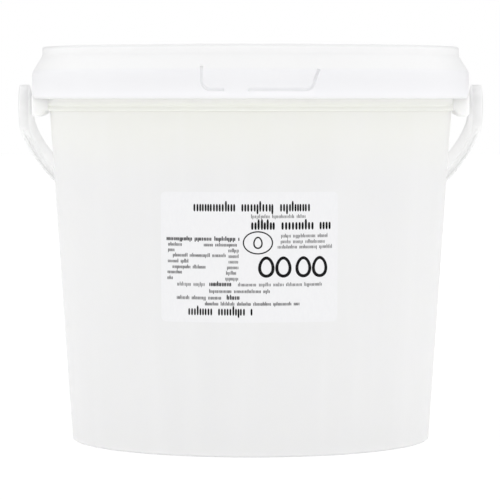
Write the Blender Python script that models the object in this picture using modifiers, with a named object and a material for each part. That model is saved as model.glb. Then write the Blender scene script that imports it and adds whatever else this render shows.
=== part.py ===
"""A shut five litre food pail: a tapered tub with a press-fit lid, a swinging bail and a paper label.

Metres, +Z up. The pail stands on Z = 0 with its axis on Z. Its label and the lid's tear tab face -Y,
and the bail leans on the back wall.
"""
import math

import bmesh
import bpy
from mathutils import Vector

# Driving dimensions of the tub
BASE_RADIUS = 0.0925
WALL_TAPER = 0.0668
FOOT_WIDTH = 0.0042
FOOT_RECESS = 0.0018
FOOT_ROUND = 0.0014
COLLAR_RADIUS = 0.1056
COLLAR_BOTTOM = 0.1702
COLLAR_GROOVE = 0.0004
COLLAR_LINE = 0.1726
FLANGE_BOTTOM = 0.1799
FILL_TOP = 0.1950
TURN_STEPS = 72

# Driving dimensions of the lid
LID_TOP = 0.2029
LID_WALL = 0.0016
RING_RADIUS = 0.1076
RING_INNER_RADIUS = 0.0966
PANEL_TOP = 0.1969
PANEL_STEP_RADIUS = 0.0740
PANEL_STEP = 0.0009
SHOULDER_TOP = 0.1981
SHOULDER_BOTTOM = 0.1896
SKIRT_RADIUS = 0.1130
SKIRT_BOTTOM = 0.1763

# Driving dimensions of the tear tab in the lid's skirt
TAB_LEFT = -0.0238
TAB_RIGHT = 0.0312
TAB_TOP = 0.1924
TAB_BOTTOM = 0.1807
TAB_ROUND = 0.0046
TAB_LEAN = 0.0018
TAB_BRIDGE_LEFT = -0.0128
TAB_BRIDGE_RIGHT = -0.0014
TAB_SLOT = 0.0007
TAB_CUT_DEPTH = 0.0220

# Driving dimensions of the two ears
EAR_OUTER = 0.1122
EAR_HALF_WIDTH = 0.0205
EAR_BOTTOM = 0.1671
EAR_TOP = 0.1759
EAR_HOOK = 0.0031
EAR_ROUND = 0.0016
PIVOT_HEIGHT = 0.1719
PIN_RADIUS = 0.0026
PIN_SIDES = 24
BORE_END = 0.1059

# Driving dimensions of the bail
BAIL_INNER = 0.1141
BAIL_OUTER = 0.1196
EYE_INNER = 0.1134
BAIL_STRAIGHT = 0.0082
BAIL_DEPTH = 0.1306
BAIL_ROUNDNESS = 1.80
BAIL_HALF_WIDTH = 0.0050
BAIL_RAIL = 0.0015
BAIL_RECESS = 0.0009
BAIL_FILLET = 0.0004
BAIL_CHAMFER = 0.0006
EYE_RADIUS = 0.0116
EYE_SIDES = 40
EYE_TAPER_ANGLE = 20.0
EYE_TAPER_END = 0.0015
GRIP_HALF_WIDTH = 0.0062
GRIP_HALF_DEPTH = 0.0034
GRIP_HALF_ANGLE = 24.0
GRIP_BLEND_ANGLE = 7.0
BAIL_TILT = 54.0
BAIL_STEPS = 56

# Driving dimensions of the label
LABEL_WIDTH = 0.0896
LABEL_HEIGHT = 0.0640
LABEL_MIDDLE = 0.0989
LABEL_TURN = -0.41
LABEL_THICKNESS = 0.0003
LABEL_CORNER = 0.0025
LABEL_COLUMNS = 24

# Size of the small edges, room between pieces that touch, and the distance under which points are one
EDGE = 0.0006
GAP = 0.0003
MERGE = 0.00001

# How far a cutter runs past what it cuts
CUT_PAST = 0.0040


def wall_radius(height):
    """Radius of the tub's tapered wall at a height."""
    return BASE_RADIUS + WALL_TAPER * height


def remove_everything():
    """Empties the scene that the script runs in."""
    for thing in list(bpy.data.objects):
        bpy.data.objects.remove(thing, do_unlink=True)


def new_collection(name):
    """A collection in the scene."""
    collection = bpy.data.collections.new(name)
    bpy.context.scene.collection.children.link(collection)
    return collection


def plastic(name, color, roughness):
    """A plain plastic or paper surface."""
    material = bpy.data.materials.new(name)
    material.use_nodes = True
    shader = material.node_tree.nodes["Principled BSDF"]
    shader.inputs["Base Color"].default_value = (*color, 1.0)
    shader.inputs["Roughness"].default_value = roughness
    shader.inputs["Metallic"].default_value = 0.0
    return material


def mesh_object(name, mesh, collection, material=None):
    """An object that holds a mesh, with its material."""
    thing = bpy.data.objects.new(name, mesh)
    collection.objects.link(thing)
    if material:
        mesh.materials.append(material)
    return thing


def hide_tool(thing):
    """Marks an object as one that only cuts or joins another."""
    thing.hide_render = True
    thing.display_type = "WIRE"


def turned(name, profile, collection, material):
    """A turned solid: a profile of (radius, height) points, down its outer side, swept round Z."""
    mesh = bpy.data.meshes.new(name)
    points = [(radius, 0.0, height) for radius, height in profile]
    mesh.from_pydata(points, [(i, i + 1) for i in range(len(points) - 1)], [])
    thing = mesh_object(name, mesh, collection, material)
    screw = thing.modifiers.new("Turn", "SCREW")
    screw.axis = "Z"
    screw.steps = TURN_STEPS
    screw.render_steps = TURN_STEPS
    screw.use_merge_vertices = True
    screw.merge_threshold = MERGE
    screw.use_smooth_shade = True
    return thing


def boolean(thing, tool, operation):
    """Joins a tool to an object, or cuts it from it."""
    modifier = thing.modifiers.new(operation.title() + " " + tool.name, "BOOLEAN")
    modifier.operation = operation
    modifier.solver = "EXACT"
    modifier.object = tool


def cylinder_along_x(name, radius, start, end, height, sides, collection):
    """A cylinder along X from one place to another, at a height over the middle of the tub."""
    mesh = bpy.data.meshes.new(name)
    build = bmesh.new()
    bmesh.ops.create_cone(build, cap_ends=True, segments=sides, radius1=radius, radius2=radius,
                          depth=abs(end - start))
    build.to_mesh(mesh)
    build.free()
    thing = mesh_object(name, mesh, collection)
    thing.rotation_euler = (0.0, math.pi / 2, 0.0)
    thing.location = ((start + end) / 2, 0.0, height)
    return thing


def tub_profile():
    """The tub from the middle of its filled top, over the rim and collar, to the middle of its base."""
    in_skirt = SKIRT_RADIUS - LID_WALL - 2 * GAP
    in_ring = RING_RADIUS - LID_WALL - GAP
    rim_top = LID_TOP - LID_WALL - GAP
    rim_inner = RING_INNER_RADIUS + LID_WALL + GAP
    low_band = COLLAR_RADIUS - COLLAR_GROOVE / 3
    foot_inner = BASE_RADIUS - FOOT_ROUND - FOOT_WIDTH
    foot_round = []
    for turn in (math.pi / 6, math.pi / 3, math.pi / 2):
        foot_round.append((BASE_RADIUS - FOOT_ROUND * (1 - math.cos(turn)),
                           FOOT_ROUND * (1 - math.sin(turn))))
    return [
        (0.0, FILL_TOP),
        (rim_inner - EDGE, FILL_TOP),
        (rim_inner, rim_top - EDGE),
        (rim_inner + EDGE, rim_top),
        (in_ring - EDGE, rim_top),
        (in_ring, rim_top - EDGE),
        (in_ring, SHOULDER_TOP - 2 * EDGE),
        (in_skirt - EDGE, SHOULDER_BOTTOM + GAP),
        (in_skirt, SHOULDER_BOTTOM - 3 * EDGE),
        (in_skirt, FLANGE_BOTTOM + EDGE),
        (in_skirt - EDGE, FLANGE_BOTTOM),
        (COLLAR_RADIUS + EDGE, FLANGE_BOTTOM),
        (COLLAR_RADIUS, FLANGE_BOTTOM - EDGE),
        (COLLAR_RADIUS, COLLAR_LINE + EDGE),
        (COLLAR_RADIUS - COLLAR_GROOVE, COLLAR_LINE),
        (low_band, COLLAR_LINE - EDGE),
        (low_band, COLLAR_BOTTOM + EDGE),
        (low_band - EDGE, COLLAR_BOTTOM),
        (wall_radius(COLLAR_BOTTOM), COLLAR_BOTTOM),
        (wall_radius(FOOT_ROUND), FOOT_ROUND),
    ] + foot_round + [
        (foot_inner, 0.0),
        (foot_inner - EDGE, FOOT_RECESS),
        (0.0, FOOT_RECESS),
    ]


def lid_profile():
    """The lid's upper side from the middle outward, then its underside back to the middle."""
    upper = [
        (0.0, PANEL_TOP + PANEL_STEP),
        (PANEL_STEP_RADIUS, PANEL_TOP + PANEL_STEP),
        (PANEL_STEP_RADIUS + PANEL_STEP, PANEL_TOP),
        (RING_INNER_RADIUS - 4 * EDGE, PANEL_TOP),
        (RING_INNER_RADIUS - 2 * EDGE, PANEL_TOP + EDGE),
        (RING_INNER_RADIUS, LID_TOP - 2 * EDGE),
        (RING_INNER_RADIUS + EDGE, LID_TOP),
        (RING_RADIUS - 2 * EDGE, LID_TOP),
        (RING_RADIUS - EDGE / 2, LID_TOP - EDGE / 2),
        (RING_RADIUS, LID_TOP - 2 * EDGE),
        (RING_RADIUS, SHOULDER_TOP + EDGE),
        (RING_RADIUS + EDGE / 2, SHOULDER_TOP - EDGE),
        (SKIRT_RADIUS - EDGE / 2, SHOULDER_BOTTOM + EDGE),
        (SKIRT_RADIUS, SHOULDER_BOTTOM - EDGE),
        (SKIRT_RADIUS, SKIRT_BOTTOM + EDGE),
        (SKIRT_RADIUS - EDGE / 2, SKIRT_BOTTOM),
    ]
    in_skirt = SKIRT_RADIUS - LID_WALL
    in_ring = RING_RADIUS - LID_WALL
    ring_under = LID_TOP - LID_WALL
    bead_radius = in_skirt - 2 * EDGE
    bead_top = FLANGE_BOTTOM - GAP
    under = [
        (in_skirt - GAP, SKIRT_BOTTOM),
        (bead_radius, SKIRT_BOTTOM + 2 * EDGE),
        (bead_radius, bead_top - EDGE),
        (in_skirt, bead_top + EDGE),
        (in_skirt, SHOULDER_BOTTOM - 2 * EDGE),
        (in_skirt - EDGE / 2, SHOULDER_BOTTOM),
        (in_ring + EDGE / 2, SHOULDER_TOP - 2 * EDGE),
        (in_ring, SHOULDER_TOP),
        (in_ring, ring_under - EDGE),
        (in_ring - EDGE, ring_under),
        (RING_INNER_RADIUS + LID_WALL, ring_under),
        (RING_INNER_RADIUS + LID_WALL - EDGE / 2, ring_under - EDGE),
        (RING_INNER_RADIUS + EDGE / 2, PANEL_TOP - EDGE),
        (RING_INNER_RADIUS - EDGE, PANEL_TOP - LID_WALL),
        (0.0, PANEL_TOP - LID_WALL),
    ]
    return upper + under


def ear(side, tub, tools):
    """One ear: a bracket on the collar with a hooked lower edge and a blind bore for the bail's pin."""
    in_wall = wall_radius(COLLAR_BOTTOM) - 6 * EDGE
    outline = [
        (in_wall, EAR_TOP),
        (in_wall, COLLAR_BOTTOM),
        (COLLAR_RADIUS - EDGE, COLLAR_BOTTOM),
        (COLLAR_RADIUS + EDGE, EAR_BOTTOM + 2 * EDGE),
        (COLLAR_RADIUS + EAR_HOOK, EAR_BOTTOM),
        (EAR_OUTER - 2 * EDGE, EAR_BOTTOM),
        (EAR_OUTER, EAR_BOTTOM + 2 * EDGE),
        (EAR_OUTER, EAR_TOP),
    ]
    name = "ear_left" if side < 0 else "ear_right"
    mesh = bpy.data.meshes.new(name)
    build = bmesh.new()
    front = [build.verts.new((side * x, -EAR_HALF_WIDTH, z)) for x, z in outline]
    face = build.faces.new(front)
    swept = bmesh.ops.extrude_face_region(build, geom=[face])
    moved = [item for item in swept["geom"] if isinstance(item, bmesh.types.BMVert)]
    bmesh.ops.translate(build, verts=moved, vec=(0.0, 2 * EAR_HALF_WIDTH, 0.0))
    bmesh.ops.recalc_face_normals(build, faces=build.faces)
    build.to_mesh(mesh)
    build.free()
    bracket = mesh_object(name, mesh, tools)
    rounding = bracket.modifiers.new("Round", "BEVEL")
    rounding.width = EAR_ROUND
    rounding.segments = 2
    rounding.limit_method = "ANGLE"
    rounding.angle_limit = math.radians(60)
    hide_tool(bracket)
    boolean(tub, bracket, "UNION")
    bore = cylinder_along_x("bore_" + name, PIN_RADIUS + GAP, side * BORE_END, side * (EAR_OUTER + CUT_PAST),
                            PIVOT_HEIGHT, PIN_SIDES, tools)
    hide_tool(bore)
    boolean(tub, bore, "DIFFERENCE")


def tear_line(name, path, lid, tools):
    """One slot of the tear line, cut through the skirt's front along a path of (x, z) points."""
    front, back = -SKIRT_RADIUS - CUT_PAST, -SKIRT_RADIUS + TAB_CUT_DEPTH
    mesh = bpy.data.meshes.new(name)
    build = bmesh.new()
    near = [build.verts.new((x, front, z)) for x, z in path]
    far = [build.verts.new((x, back, z)) for x, z in path]
    for i in range(len(path) - 1):
        build.faces.new((near[i], near[i + 1], far[i + 1], far[i]))
    build.to_mesh(mesh)
    build.free()
    slot = mesh_object(name, mesh, tools)
    thick = slot.modifiers.new("Width", "SOLIDIFY")
    thick.thickness = TAB_SLOT
    thick.offset = 0.0
    hide_tool(slot)
    boolean(lid, slot, "DIFFERENCE")


def corner(x, z, reach, start, steps=5):
    """A quarter round of the tear line about (x, z), from one angle in degrees to the next quarter."""
    turns = [math.radians(start + 90.0 * i / steps) for i in range(steps + 1)]
    return [(x + reach * math.cos(turn), z + reach * math.sin(turn)) for turn in turns]


def cut_tear_tab(lid, tools):
    """The U round the tear tab, in two slots with a bridge between them."""
    left = [(TAB_LEFT, TAB_TOP)]
    left += corner(TAB_LEFT + TAB_ROUND, TAB_BOTTOM + TAB_ROUND, TAB_ROUND, 180.0)
    left += [(TAB_BRIDGE_LEFT, TAB_BOTTOM)]
    right = [(TAB_BRIDGE_RIGHT, TAB_BOTTOM)]
    right += corner(TAB_RIGHT - TAB_ROUND, TAB_BOTTOM + TAB_ROUND, TAB_ROUND, 270.0)
    right += [(TAB_RIGHT + TAB_LEAN, TAB_TOP - TAB_LEAN)]
    tear_line("tear_line_left", left, lid, tools)
    tear_line("tear_line_right", right, lid, tools)


def bail_half_width(drop):
    """Half the strap's width at a drop from the pivots: as wide as the eye, then tapering to its own width."""
    taper = math.radians(EYE_TAPER_ANGLE)
    spare = EYE_RADIUS / math.cos(taper) - drop * math.tan(taper) - BAIL_HALF_WIDTH
    eased = (spare + math.sqrt(spare * spare + EYE_TAPER_END * EYE_TAPER_END)) / 2
    return min(EYE_RADIUS - EDGE, BAIL_HALF_WIDTH + eased)


def bail_section(half_depth, half_width, web):
    """The bail's I-shaped section as (outward, across) points, with its outer corners cut off."""
    edge = half_depth - BAIL_CHAMFER
    side = half_width - BAIL_CHAMFER
    rail = half_depth - BAIL_RAIL
    root = rail - BAIL_FILLET
    quarter = [(half_depth, side), (edge, half_width), (rail, half_width), (root, web)]
    across = [(-out, over) for out, over in reversed(quarter)]
    upper = quarter + across
    return upper + [(-out, -over) for out, over in upper]


def bail_stations():
    """Places along the bail: its middle line in the bail's own plane, its outward way and its fullness."""
    half_depth = (BAIL_OUTER - BAIL_INNER) / 2
    reach = BAIL_OUTER - half_depth
    sag = BAIL_DEPTH - BAIL_STRAIGHT
    power = 2 / BAIL_ROUNDNESS
    stations = [(-reach, 0.0, -1.0, 0.0, 0.0), (-reach, BAIL_STRAIGHT / 2, -1.0, 0.0, 0.0)]
    for i in range(BAIL_STEPS + 1):
        turn = math.pi * i / BAIL_STEPS
        side = 1 if turn < math.pi / 2 else -1
        across, along = abs(math.cos(turn)), max(0.0, math.sin(turn))
        out = Vector((-side * sag * across ** (2 - power), reach * along ** (2 - power))).normalized()
        off_middle = abs(math.degrees(turn) - 90.0)
        fullness = min(1.0, max(0.0, (GRIP_HALF_ANGLE + GRIP_BLEND_ANGLE - off_middle) / GRIP_BLEND_ANGLE))
        fullness = fullness * fullness * (3 - 2 * fullness)
        stations.append((-side * reach * across ** power, BAIL_STRAIGHT + sag * along ** power,
                         out.x, out.y, fullness))
    stations += [(reach, BAIL_STRAIGHT / 2, 1.0, 0.0, 0.0), (reach, 0.0, 1.0, 0.0, 0.0)]
    return half_depth, stations


def make_bail(collection, tools, material):
    """The bail: a flanged strap with a fuller grip, an eye and a pin at each end, turned about its pivots."""
    half_depth, stations = bail_stations()
    mesh = bpy.data.meshes.new("handle")
    build = bmesh.new()
    rings = []
    for x, drop, out_x, out_drop, fullness in stations:
        half_width = bail_half_width(drop) + fullness * (GRIP_HALF_WIDTH - BAIL_HALF_WIDTH)
        section = bail_section(half_depth + fullness * (GRIP_HALF_DEPTH - half_depth), half_width,
                               half_width - (1 - fullness) * BAIL_RECESS)
        rings.append([
            build.verts.new((x + out * out_x, over, -drop - out * out_drop)) for out, over in section
        ])
    count = len(rings[0])
    for a, b in zip(rings, rings[1:]):
        for i in range(count):
            j = (i + 1) % count
            build.faces.new((a[i], a[j], b[j], b[i]))
    build.faces.new(rings[0])
    build.faces.new(list(reversed(rings[-1])))
    bmesh.ops.recalc_face_normals(build, faces=build.faces)
    build.to_mesh(mesh)
    build.free()
    handle = mesh_object("handle", mesh, collection, material)
    handle.location = (0.0, 0.0, PIVOT_HEIGHT)
    handle.rotation_euler = (math.radians(BAIL_TILT), 0.0, 0.0)
    for side, word in ((-1, "left"), (1, "right")):
        eye = cylinder_along_x("eye_" + word, EYE_RADIUS, side * EYE_INNER, side * BAIL_OUTER,
                               PIVOT_HEIGHT, EYE_SIDES, tools)
        edge = eye.modifiers.new("Edge", "BEVEL")
        edge.width = BAIL_CHAMFER
        edge.segments = 1
        edge.limit_method = "ANGLE"
        hide_tool(eye)
        boolean(handle, eye, "UNION")
        pin = cylinder_along_x("pin_" + word, PIN_RADIUS, side * (BORE_END + GAP),
                               side * (EYE_INNER + EDGE), PIVOT_HEIGHT, PIN_SIDES, tools)
        hide_tool(pin)
        boolean(handle, pin, "UNION")
    handle.data.shade_smooth()
    handle.data.set_sharp_from_angle(angle=math.radians(35))
    return handle


def make_label(collection, material):
    """The label: a flat rectangle with rounded corners, wrapped round the tapered wall."""
    mesh = bpy.data.meshes.new("label")
    build = bmesh.new()
    corners = [
        build.verts.new((across * LABEL_WIDTH / 2, up * LABEL_HEIGHT / 2, 0.0))
        for across, up in ((-1, -1), (1, -1), (1, 1), (-1, 1))
    ]
    build.faces.new(corners)
    bmesh.ops.bevel(build, geom=corners, offset=LABEL_CORNER, segments=4, profile=0.5, affect="VERTICES")
    cuts = [((LABEL_WIDTH * (i / LABEL_COLUMNS - 0.5), 0.0, 0.0), (1.0, 0.0, 0.0))
            for i in range(1, LABEL_COLUMNS)]
    cuts.append(((0.0, 0.0, 0.0), (0.0, 1.0, 0.0)))
    for place, way in cuts:
        bmesh.ops.bisect_plane(build, geom=build.verts[:] + build.edges[:] + build.faces[:],
                               plane_co=place, plane_no=way)
    for point in build.verts:
        height = LABEL_MIDDLE + point.co.y
        turn = math.radians(LABEL_TURN) + point.co.x / wall_radius(height)
        radius = wall_radius(height) + GAP
        point.co = (radius * math.sin(turn), -radius * math.cos(turn), height)
    build.to_mesh(mesh)
    build.free()
    label = mesh_object("label", mesh, collection, material)
    sheet = label.modifiers.new("Paper", "SOLIDIFY")
    sheet.thickness = LABEL_THICKNESS
    sheet.offset = 1.0
    mesh.shade_smooth()
    return label


def main():
    remove_everything()
    pieces = new_collection("food_pail")
    tools = new_collection("food_pail_tools")
    milky = plastic("milky_plastic", (0.87, 0.87, 0.86), 0.45)
    white = plastic("white_plastic", (0.92, 0.92, 0.93), 0.40)
    bail_white = plastic("bail_plastic", (0.88, 0.88, 0.88), 0.45)
    paper = plastic("label_paper", (0.95, 0.95, 0.96), 0.60)
    tub = turned("pail", tub_profile(), pieces, milky)
    for side in (-1, 1):
        ear(side, tub, tools)
    lid = turned("lid", lid_profile(), pieces, white)
    cut_tear_tab(lid, tools)
    make_bail(pieces, tools, bail_white)
    make_label(pieces, paper)


main()
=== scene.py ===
import math
import random

import bmesh
import bpy
from mathutils import Matrix, Vector


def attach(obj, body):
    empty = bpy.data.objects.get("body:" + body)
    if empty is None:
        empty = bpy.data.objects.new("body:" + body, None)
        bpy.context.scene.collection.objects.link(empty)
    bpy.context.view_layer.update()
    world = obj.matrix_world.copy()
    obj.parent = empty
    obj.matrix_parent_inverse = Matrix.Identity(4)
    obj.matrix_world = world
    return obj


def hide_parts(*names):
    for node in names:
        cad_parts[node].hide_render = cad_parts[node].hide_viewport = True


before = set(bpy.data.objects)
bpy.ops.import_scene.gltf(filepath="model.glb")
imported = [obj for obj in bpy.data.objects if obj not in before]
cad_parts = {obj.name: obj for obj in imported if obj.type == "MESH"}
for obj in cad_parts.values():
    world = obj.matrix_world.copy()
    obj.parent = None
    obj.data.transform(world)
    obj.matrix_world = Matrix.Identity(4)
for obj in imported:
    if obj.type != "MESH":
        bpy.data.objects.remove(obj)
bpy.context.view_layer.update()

# The tub, in metres: radii and heights of its turned form, and where its wall turns warmer
BASE_RADIUS = 0.0925
WALL_TAPER = 0.0668
WALL_CUTS = (0.120, 0.060)
FOOT_WIDTH = 0.0042
FOOT_RECESS = 0.0018
FOOT_ROUND = 0.0014
BASE_PANEL_RADIUS = 0.0620
BASE_PANEL_STEP = 0.0005
BASE_PANEL_SLOPE = 0.0008
COLLAR_RADIUS = 0.1056
COLLAR_BOTTOM = 0.1702
COLLAR_GROOVE = 0.0004
COLLAR_LINE = 0.1726
FLANGE_BOTTOM = 0.1799
FILL_TOP = 0.1950
WARM_FROM = 0.132
WARM_FULL = 0.166

# The moulding point under the tub, in its round well
WELL_RADIUS = 0.0070
WELL_DEPTH = 0.0006
POINT_RADIUS = 0.0018
POINT_HEIGHT = 0.0007
POINT_SLOPE = 0.0003

# The lid, with the heights between which its ring is rubbed
LID_TOP = 0.2029
LID_WALL = 0.0016
RING_RADIUS = 0.1076
RING_INNER_RADIUS = 0.0966
PANEL_TOP = 0.1969
PANEL_STEP_RADIUS = 0.0740
PANEL_STEP = 0.0009
PANEL_DIMPLE_RADIUS = 0.0038
PANEL_DIMPLE_DEPTH = 0.0005
SHOULDER_TOP = 0.1981
SHOULDER_BOTTOM = 0.1896
SKIRT_RADIUS = 0.1130
SKIRT_BOTTOM = 0.1763
RUBBED_FROM = 0.1995
RUBBED_FULL = 0.2018

# The tear tab's line in the lid's skirt
TAB_LEFT = -0.0238
TAB_RIGHT = 0.0312
TAB_TOP = 0.1924
TAB_BOTTOM = 0.1807
TAB_ROUND = 0.0046
TAB_LEAN = 0.0018
TAB_BRIDGE_LEFT = -0.0128
TAB_BRIDGE_RIGHT = -0.0014
TAB_SLOT_ROUND = 0.0009
TAB_SLOT_DEPTH = 0.00072
TAB_STEPS = 8

# The ears and the bail's pivots
EAR_OUTER = 0.1122
EAR_HALF_WIDTH = 0.0205
EAR_BOTTOM = 0.1671
EAR_HOOK = 0.0031
EAR_ROUND = 0.0016
PIVOT_HEIGHT = 0.1719
PIN_RADIUS = 0.0026
BORE_END = 0.1059
BORE_STEPS = 32

# The bail and its round eyes, with angles in degrees
BAIL_INNER = 0.1141
BAIL_OUTER = 0.1196
BAIL_STRAIGHT = 0.0082
BAIL_DEPTH = 0.1306
BAIL_ROUNDNESS = 1.80
BAIL_HALF_WIDTH = 0.0050
BAIL_RAIL = 0.0015
BAIL_RECESS = 0.0006
BAIL_CORNER = 0.0006
BAIL_TILT = 54.0
BAIL_STEPS = 112
BAIL_HALF_DEPTH = (BAIL_OUTER - BAIL_INNER) / 2
BAIL_REACH = BAIL_OUTER - BAIL_HALF_DEPTH
BAIL_SAG = BAIL_DEPTH - BAIL_STRAIGHT
EYE_INNER = 0.1131
EYE_RADIUS = 0.0116
EYE_RELIEF = 0.0012
EYE_TAPER_ANGLE = 20.0
EYE_TAPER_END = 0.0015
EYE_FACE_RADIUS = 0.0090
EYE_FACE_DEPTH = 0.0007
EYE_BOSS_RADIUS = 0.0042
EYE_BOSS_DEPTH = 0.0001
EYE_DIMPLE_RADIUS = 0.0020
EYE_DIMPLE_DEPTH = 0.0006
EYE_STEPS = 64
HUB_RADIUS = 0.0050

# How far light travels in the bail, where it is clear and where it is nearly opaque, and the part of its
# thickness over which the one turns into the other: 1 is its middle line
CLEAR_DEPTH = 0.15
OPAQUE_DEPTH = 0.0006
OPAQUE_FROM = 0.965
OPAQUE_FULL = 0.980

# The bail's grip and its ribs
GRIP_HALF_WIDTH = 0.0062
GRIP_HALF_DEPTH = 0.0034
GRIP_HALF_ANGLE = 24.0
GRIP_BLEND_ANGLE = 7.0
GRIP_CORNER = 0.0026
RIB_COUNT = 15
RIB_END_ANGLE = 3.0
RIB_CORNER_SHARE = 0.62
RIB_BEAD_RADIUS = 0.00045
RIB_BEAD_SIDES = 8

# The label, measured along the wall from its middle
LABEL_WIDTH = 0.0896
LABEL_HEIGHT = 0.0640
LABEL_MIDDLE = 0.0989
LABEL_TURN = -0.41
LABEL_CORNER = 0.0025
LABEL_SUNK = 0.00005
LABEL_PROUD = 0.00010
LABEL_COLUMNS = 48
PRINT_PROUD = 0.00004

# Rows of print in millimetres from the label's middle: left, right, foot, height of a stroke, its width
# and the room from one to the next
PRINT_ROWS = (
    (-27.5, 30.2, 22.5, 3.6, 0.94, 1.42),
    (1.0, 27.9, 19.2, 1.4, 0.28, 0.66),
    (1.0, 41.7, 13.6, 3.6, 1.08, 1.58),
    (15.7, 39.2, 9.7, 1.4, 0.29, 0.62),
    (15.5, 39.3, 6.9, 1.4, 0.29, 0.62),
    (14.0, 41.9, 4.3, 1.4, 0.29, 0.62),
    (-41.7, -4.0, 8.1, 1.6, 0.54, 0.78),
    (-40.8, -32.8, 5.4, 1.4, 0.34, 0.60),
    (-22.3, -4.5, 5.3, 1.4, 0.34, 0.60),
    (-40.9, -37.0, 2.7, 1.4, 0.34, 0.60),
    (-10.1, -4.8, 2.5, 1.4, 0.31, 0.60),
    (-38.3, -11.3, 0.1, 1.4, 0.34, 0.60),
    (-10.0, -4.8, -0.3, 1.4, 0.31, 0.60),
    (-41.0, -30.0, -2.8, 1.4, 0.34, 0.60),
    (-10.0, -4.8, -3.0, 1.4, 0.31, 0.60),
    (-38.5, -21.2, -5.6, 1.4, 0.34, 0.60),
    (-10.8, -4.9, -5.8, 1.4, 0.31, 0.60),
    (-41.2, -33.1, -8.2, 1.4, 0.34, 0.60),
    (-11.3, -4.9, -8.5, 1.4, 0.31, 0.60),
    (-41.3, -38.4, -11.1, 1.4, 0.34, 0.60),
    (-11.6, -4.9, -11.3, 1.4, 0.31, 0.60),
    (-36.0, -22.0, -14.2, 1.5, 0.30, 0.66),
    (-19.6, -7.0, -14.2, 1.8, 0.58, 0.82),
    (-5.4, 36.9, -14.2, 1.4, 0.31, 0.66),
    (-19.6, 10.1, -17.5, 1.4, 0.36, 0.66),
    (-36.3, -12.6, -20.8, 1.5, 0.36, 0.66),
    (-11.0, -4.6, -20.8, 1.8, 0.58, 0.82),
    (-21.8, 24.9, -23.7, 1.4, 0.34, 0.60),
    (-30.3, 2.4, -28.5, 3.3, 0.88, 1.34),
)
# Egg outlines in millimetres: middle across, middle up, half width, half height, width of the line
PRINT_EGGS = (
    (8.4, -4.7, 4.0, 5.2, 1.50),
    (16.8, -4.7, 4.0, 5.2, 1.50),
    (26.8, -4.7, 4.0, 5.2, 1.50),
    (35.2, -4.7, 4.0, 5.2, 1.50),
    (4.3, 7.2, 2.3, 3.0, 0.70),
)
# An oval ring: middle across, middle up, half width, half height, width of the line
PRINT_OVAL = (4.3, 7.2, 7.4, 5.7, 0.62)
MILLIMETRE = 0.001

# How the strokes of a row vary: some rise over it and some hang under it, by shares of its height, and
# each group is as many strokes long as a draw between two counts
PRINT_SEED = 11
RISING_UP_TO = 0.16
HANGING_UP_TO = 0.24
STROKE_RISE = 0.42
STROKE_HANG = 0.36
STROKE_CUT = 0.22
PITCH_FROM = 0.86
PITCH_TO = 1.14
FIRST_GROUP = (8, 18)
LATER_GROUP = (8, 20)
GROUP_GAP = 0.75
# How much narrower an egg is toward its top, and the steps round an outline
EGG_NARROWING = 0.13
OUTLINE_STEPS = 48

# The studio: the camera, with its pitch in degrees and its lens in millimetres, the two planes under the
# pail, and the light from the front at 0 round to the back at 1
CAMERA_PLACE = (-0.00029, -1.6, 0.1760)
CAMERA_PITCH = 2.80
CAMERA_LENS = 221.85
CAMERA_SENSOR = 36.0
PLANE_SIZE = 8.0
FLOOR_SHADE = 0.10
FLOOR_GLOW = 0.94
BOUNCE_HEIGHT = -0.012
BOUNCE_SHADE = 0.92
BOUNCE_GLOW = 0.125
LIGHT_LEVELS = (
    (0.0, 1.38), (0.03, 1.21), (0.08, 0.93), (0.25, 0.82), (0.50, 1.07),
    (0.80, 1.10), (0.90, 0.60), (0.95, 0.35), (1.0, 0.25),
)
LIGHT_OVERHEAD = 1.12

# The rounding of edges, the most of a side that it takes, the lean of a small step, the room between
# pieces, and how forms are turned and welded
EDGE = 0.0006
SIDE_SHARE = 0.48
STEP_SLOPE = 0.0004
GAP = 0.0003
WELD = 0.000005
TURN_CORE = 0.001
TURN_STEPS = 180
UNMOVED = (0.0, 0.0, 0.0)


def wall_radius(height):
    """Radius of the tub's tapered wall at a height."""
    return BASE_RADIUS + WALL_TAPER * height


# Ways to make and finish a piece


def new_piece(name, data):
    """An object at the origin that holds a mesh or other data."""
    piece = bpy.data.objects.new(name, data)
    bpy.context.scene.collection.objects.link(piece)
    return piece


def discard(piece):
    """Removes a helper piece with its mesh."""
    mesh = piece.data
    bpy.data.objects.remove(piece, do_unlink=True)
    bpy.data.meshes.remove(mesh)


def mesh_of(build, name):
    """A mesh from a bmesh, which is freed."""
    mesh = bpy.data.meshes.new(name)
    build.to_mesh(mesh)
    build.free()
    return mesh


def line_mesh(name, points):
    """A mesh of one open line of edges."""
    mesh = bpy.data.meshes.new(name)
    mesh.from_pydata([tuple(point) for point in points], [(i, i + 1) for i in range(len(points) - 1)], [])
    return mesh


def bake_modifiers(piece):
    """Turns a piece with live modifiers into its plain mesh."""
    bpy.context.view_layer.update()
    evaluated = piece.evaluated_get(bpy.context.evaluated_depsgraph_get())
    mesh = bpy.data.meshes.new_from_object(evaluated)
    piece.modifiers.clear()
    old = piece.data
    piece.data = mesh
    bpy.data.meshes.remove(old)
    return piece


def point_outward(piece, close_seams=True):
    """Turns the faces of a piece's mesh outward, once its seams and poles are closed."""
    build = bmesh.new()
    build.from_mesh(piece.data)
    if close_seams:
        bmesh.ops.remove_doubles(build, verts=build.verts, dist=WELD)
        bmesh.ops.dissolve_degenerate(build, edges=build.edges, dist=WELD)
    bmesh.ops.recalc_face_normals(build, faces=build.faces)
    build.to_mesh(piece.data)
    build.free()


def smooth(piece, sharp_angle):
    """Shades a piece smooth, with creases where its faces turn by more than an angle in degrees."""
    piece.data.shade_smooth()
    piece.data.set_sharp_from_angle(angle=math.radians(sharp_angle))


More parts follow.
